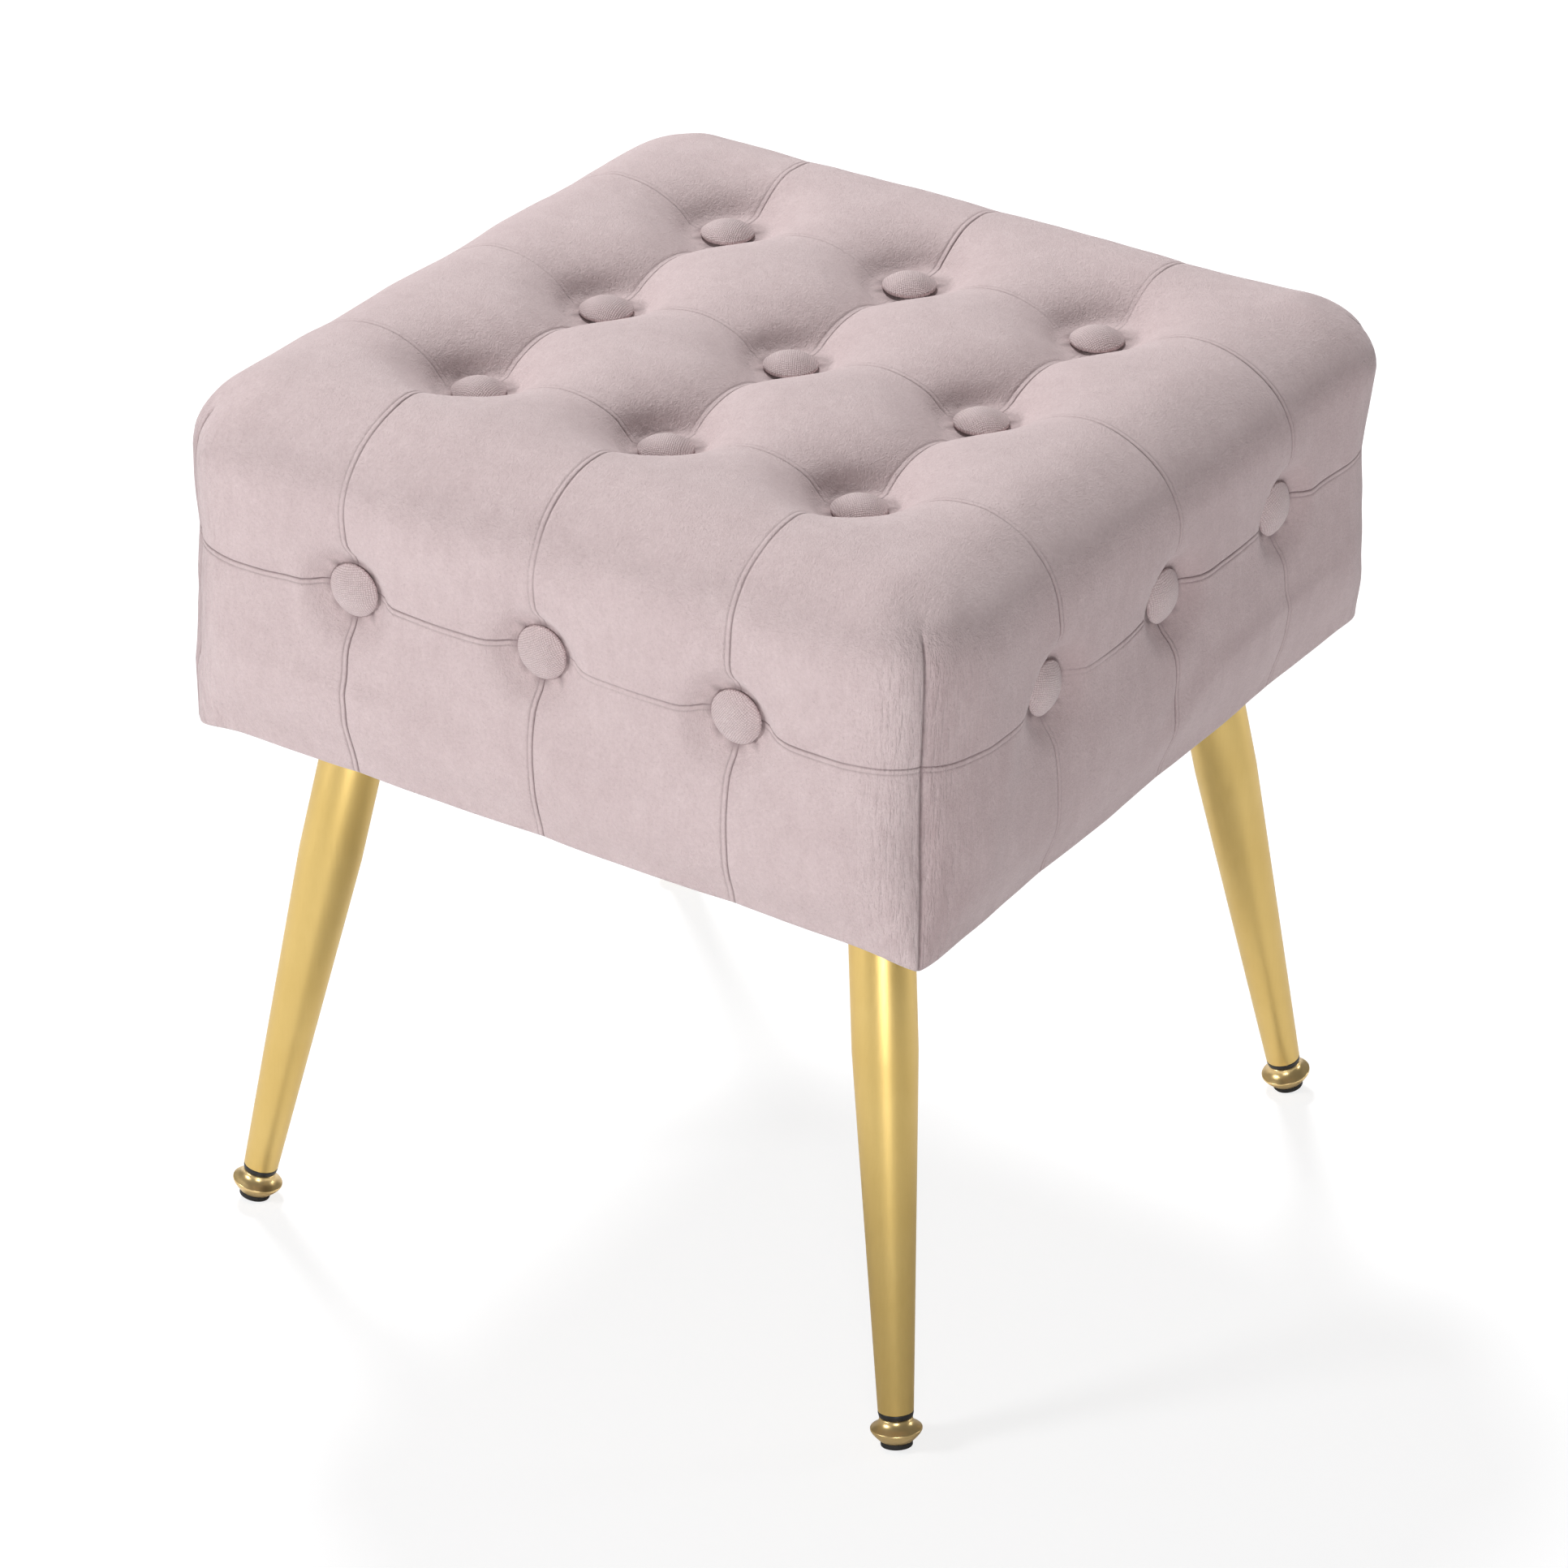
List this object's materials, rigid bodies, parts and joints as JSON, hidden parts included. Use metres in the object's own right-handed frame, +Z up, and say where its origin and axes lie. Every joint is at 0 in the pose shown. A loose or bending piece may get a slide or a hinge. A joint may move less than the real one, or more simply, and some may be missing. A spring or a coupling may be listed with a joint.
{
  "type": "upholstered bench",
  "caption": "Square upholstered bench or footstool with a button-tufted velvet cushion on splayed tapered metal legs with levelling feet.",
  "frame": {"origin": "centre of the footprint on the floor, with the levelling feet fully screwed in", "axes": "+Z up, -Y towards the left of the pictured faces (the front), +X towards the right one; the splayed legs stand on the diagonals"},
  "size_m": [0.4136, 0.4136, 0.441],
  "materials": {
    "velvet": "blush pink velvet with a soft mottled nap",
    "button_velvet": "blush pink velvet stretched tight, its weave showing",
    "foam": "open-cell foam",
    "plywood": "raw plywood",
    "pine": "planed softwood",
    "black_cloth": "thin non-woven cloth",
    "zinc_steel": "zinc-plated",
    "twine": "waxed",
    "brass_finish": "satin brushed brass plate on steel",
    "polished_brass": "polished",
    "black_plastic": "satin moulded",
    "black_rubber": "matte"
  },
  "bodies": {
    "seat": {"tufted_cover": "velvet", "top_buttons": "button_velvet", "side_buttons": "button_velvet", "seat_foam": "foam", "side_foam_front": "foam", "side_foam_right": "foam", "side_foam_back": "foam", "side_foam_left": "foam", "deck_board": "plywood", "base_board": "plywood", "rail_front": "pine", "rail_right": "pine", "rail_back": "pine", "rail_left": "pine", "corner_block_front_left": "pine", "corner_block_front_right": "pine", "corner_block_back_right": "pine", "corner_block_back_left": "pine", "dust_cloth": "black_cloth", "button_backs": "zinc_steel", "twine_washers": "zinc_steel", "rail_screws": "zinc_steel", "deck_screws": "zinc_steel", "base_screws": "zinc_steel", "leg_plate_screws": "zinc_steel", "cover_staples": "zinc_steel", "dust_staples": "zinc_steel", "button_twines": "twine", "leg_tube_front_left": "brass_finish", "leg_tube_front_right": "brass_finish", "leg_tube_back_right": "brass_finish", "leg_tube_back_left": "brass_finish", "leg_plate_front_left": "brass_finish", "leg_plate_front_right": "brass_finish", "leg_plate_back_right": "brass_finish", "leg_plate_back_left": "brass_finish", "foot_plugs": "black_plastic"},
    "pad_front_left": {"foot_pad_front_left": "black_rubber"},
    "glide_front_left": {"glide_disc_front_left": "polished_brass", "glide_stud_front_left": "zinc_steel"},
    "pad_front_right": {"foot_pad_front_right": "black_rubber"},
    "glide_front_right": {"glide_disc_front_right": "polished_brass", "glide_stud_front_right": "zinc_steel"},
    "pad_back_right": {"foot_pad_back_right": "black_rubber"},
    "glide_back_right": {"glide_disc_back_right": "polished_brass", "glide_stud_back_right": "zinc_steel"},
    "pad_back_left": {"foot_pad_back_left": "black_rubber"},
    "glide_back_left": {"glide_disc_back_left": "polished_brass", "glide_stud_back_left": "zinc_steel"}
  },
  "joints": [
    {"name": "foot_height_front_left", "type": "slide", "parent": "seat", "child": "pad_front_left", "axis": [-0.153, -0.153, -0.9763], "range_m": [0, 0.01]},
    {"name": "foot_screw_front_left", "type": "hinge", "parent": "pad_front_left", "child": "glide_front_left", "pos_m": [-0.18282, -0.18282, 0.0011], "axis": [-0.153, -0.153, -0.9763], "range_deg": [0, 2880]},
    {"name": "foot_height_front_right", "type": "slide", "parent": "seat", "child": "pad_front_right", "axis": [0.153, -0.153, -0.9763], "range_m": [0, 0.01]},
    {"name": "foot_screw_front_right", "type": "hinge", "parent": "pad_front_right", "child": "glide_front_right", "pos_m": [0.18282, -0.18282, 0.0011], "axis": [0.153, -0.153, -0.9763], "range_deg": [0, 2880]},
    {"name": "foot_height_back_right", "type": "slide", "parent": "seat", "child": "pad_back_right", "axis": [0.153, 0.153, -0.9763], "range_m": [0, 0.01]},
    {"name": "foot_screw_back_right", "type": "hinge", "parent": "pad_back_right", "child": "glide_back_right", "pos_m": [0.18282, 0.18282, 0.0011], "axis": [0.153, 0.153, -0.9763], "range_deg": [0, 2880]},
    {"name": "foot_height_back_left", "type": "slide", "parent": "seat", "child": "pad_back_left", "axis": [-0.153, 0.153, -0.9763], "range_m": [0, 0.01]},
    {"name": "foot_screw_back_left", "type": "hinge", "parent": "pad_back_left", "child": "glide_back_left", "pos_m": [-0.18282, 0.18282, 0.0011], "axis": [-0.153, 0.153, -0.9763], "range_deg": [0, 2880]}
  ],
  "couplings": [
    {"joint": "foot_height_front_left", "follows": "foot_screw_front_left", "m_per_rad": 0.00019894},
    {"joint": "foot_height_front_right", "follows": "foot_screw_front_right", "m_per_rad": 0.00019894},
    {"joint": "foot_height_back_right", "follows": "foot_screw_back_right", "m_per_rad": 0.00019894},
    {"joint": "foot_height_back_left", "follows": "foot_screw_back_left", "m_per_rad": 0.00019894}
  ]
}
